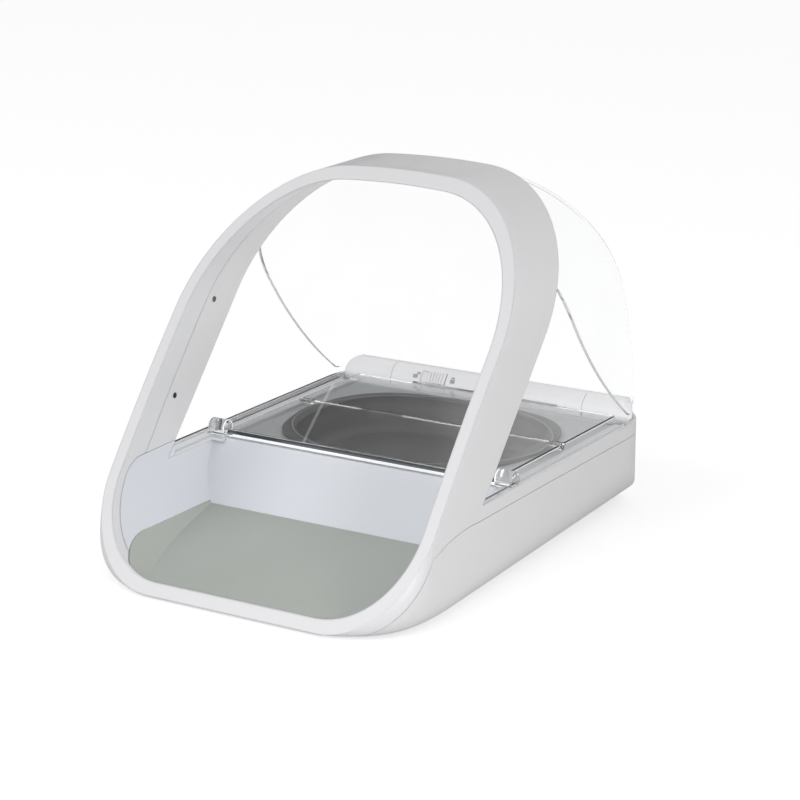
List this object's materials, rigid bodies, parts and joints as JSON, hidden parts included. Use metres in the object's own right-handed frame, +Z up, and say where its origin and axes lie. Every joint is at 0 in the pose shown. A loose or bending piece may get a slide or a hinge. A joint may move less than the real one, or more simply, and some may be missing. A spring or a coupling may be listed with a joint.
{
  "type": "microchip pet feeder",
  "caption": "Pet feeder with a leaning reader hoop over a mat tray, and a covered bowl behind it whose clear folding lid opens by a gear motor.",
  "frame": {"origin": "centre of the footprint, on the surface that the rubber feet stand on", "axes": "+X to the right seen from the front, +Y to the rear, +Z up"},
  "size_m": [0.2296, 0.3225, 0.2305],
  "materials": {
    "white_front": "gloss",
    "white_shell": "satin gloss",
    "tray_white": "gloss",
    "mat_grey": "satin",
    "bowl_grey": "gloss",
    "cradle_grey": "satin",
    "clear_sheet": "clear gloss",
    "clear_lid": "clear gloss",
    "steel": "bright",
    "rubber_grey": "matt",
    "board_green": "satin",
    "copper": "bare",
    "cell_jacket": "gloss",
    "gear_white": "matt",
    "gearcase_dark": "matt",
    "sensor_black": "gloss",
    "button_grey": "satin"
  },
  "bodies": {
    "base": {"antenna_coil": "copper", "battery_contacts": "steel", "battery_left_inner": "cell_jacket", "battery_left_outer": "cell_jacket", "battery_right_inner": "cell_jacket", "battery_right_outer": "cell_jacket", "battery_springs": "steel", "board_screws": "steel", "bowl": "bowl_grey", "bowl_cradle": "cradle_grey", "button_board": "board_green", "drive_motor": "steel", "front_ring": "white_front", "gearbox": "gearcase_dark", "hinge_cap_left": "white_front", "hinge_cap_right": "white_front", "housing_screws": "steel", "lower_housing": "white_shell", "main_board": "board_green", "rubber_feet": "rubber_grey", "sensor_board_left": "board_green", "sensor_board_right": "board_green", "sensor_windows_left": "sensor_black", "sensor_windows_right": "sensor_black", "side_rail_left": "clear_sheet", "side_rail_right": "clear_sheet", "tray_liner": "tray_white", "upper_housing": "white_shell"},
    "lid_rear": {"hinge_barrel": "white_front", "lid_rear_panel": "clear_lid", "fold_pins": "steel", "lid_gear": "gear_white"},
    "lid_front": {"lid_front_panel": "clear_lid"},
    "lid_shoes": {"slider_rod": "steel", "slider_left": "clear_sheet", "slider_right": "clear_sheet"},
    "drive": {"drive_gear": "gear_white", "drive_shaft": "steel"},
    "lock": {"lock_slider": "white_front"},
    "mat": {"tray_mat": "mat_grey"},
    "cover": {"rear_cover": "clear_sheet"},
    "door_left": {"battery_door_left": "white_shell"},
    "door_right": {"battery_door_right": "white_shell"},
    "press_left": {"button_left": "button_grey"},
    "press_middle": {"button_middle": "button_grey"},
    "press_right": {"button_right": "button_grey"}
  },
  "joints": [
    {"name": "lid_hinge", "type": "hinge", "parent": "base", "child": "lid_rear", "pos_m": [0, 0.147, 0.0592], "axis": [-1, 0, 0], "range_deg": [0, 75]},
    {"name": "lid_fold", "type": "hinge", "parent": "lid_rear", "child": "lid_front", "pos_m": [0, 0.06365, 0.0592], "axis": [-1, 0, 0], "range_deg": [-150, 0]},
    {"name": "shoe_pivot", "type": "hinge", "parent": "lid_front", "child": "lid_shoes", "pos_m": [0, -0.0197, 0.0592], "axis": [-1, 0, 0], "range_deg": [0, 75]},
    {"name": "drive_gear_spin", "type": "hinge", "parent": "base", "child": "drive", "pos_m": [0.0815, 0.14511, 0.0412], "axis": [-1, 0, 0], "range_deg": [-60, 0]},
    {"name": "lock_slide", "type": "slide", "parent": "lid_rear", "child": "lock", "axis": [-1, 0, 0], "range_m": [0, 0.0052]},
    {"name": "mat_lift", "type": "slide", "parent": "base", "child": "mat", "axis": [0, 0, 1], "range_m": [0, 0.03]},
    {"name": "cover_lift", "type": "slide", "parent": "base", "child": "cover", "axis": [0, 0.7507, 0.6606], "range_m": [0, 0.03]},
    {"name": "door_left_hinge", "type": "hinge", "parent": "base", "child": "door_left", "pos_m": [-0.03, 0.0806, 0.002], "axis": [1, 0, 0], "range_deg": [0, 95]},
    {"name": "door_right_hinge", "type": "hinge", "parent": "base", "child": "door_right", "pos_m": [0.03, 0.0806, 0.002], "axis": [1, 0, 0], "range_deg": [0, 95]},
    {"name": "button_left_press", "type": "slide", "parent": "base", "child": "press_left", "axis": [0, -1, 0], "range_m": [0, 0.0012], "stiffness_N_per_m": 700, "springref_m": -0.0005},
    {"name": "button_middle_press", "type": "slide", "parent": "base", "child": "press_middle", "axis": [0, -1, 0], "range_m": [0, 0.0012], "stiffness_N_per_m": 700, "springref_m": -0.0005},
    {"name": "button_right_press", "type": "slide", "parent": "base", "child": "press_right", "axis": [0, -1, 0], "range_m": [0, 0.0012], "stiffness_N_per_m": 700, "springref_m": -0.0005}
  ],
  "couplings": [
    {"joint": "lid_fold", "follows": "lid_hinge", "ratio": -2},
    {"joint": "shoe_pivot", "follows": "lid_hinge", "ratio": 1},
    {"joint": "drive_gear_spin", "follows": "lid_hinge", "ratio": -0.8}
  ]
}
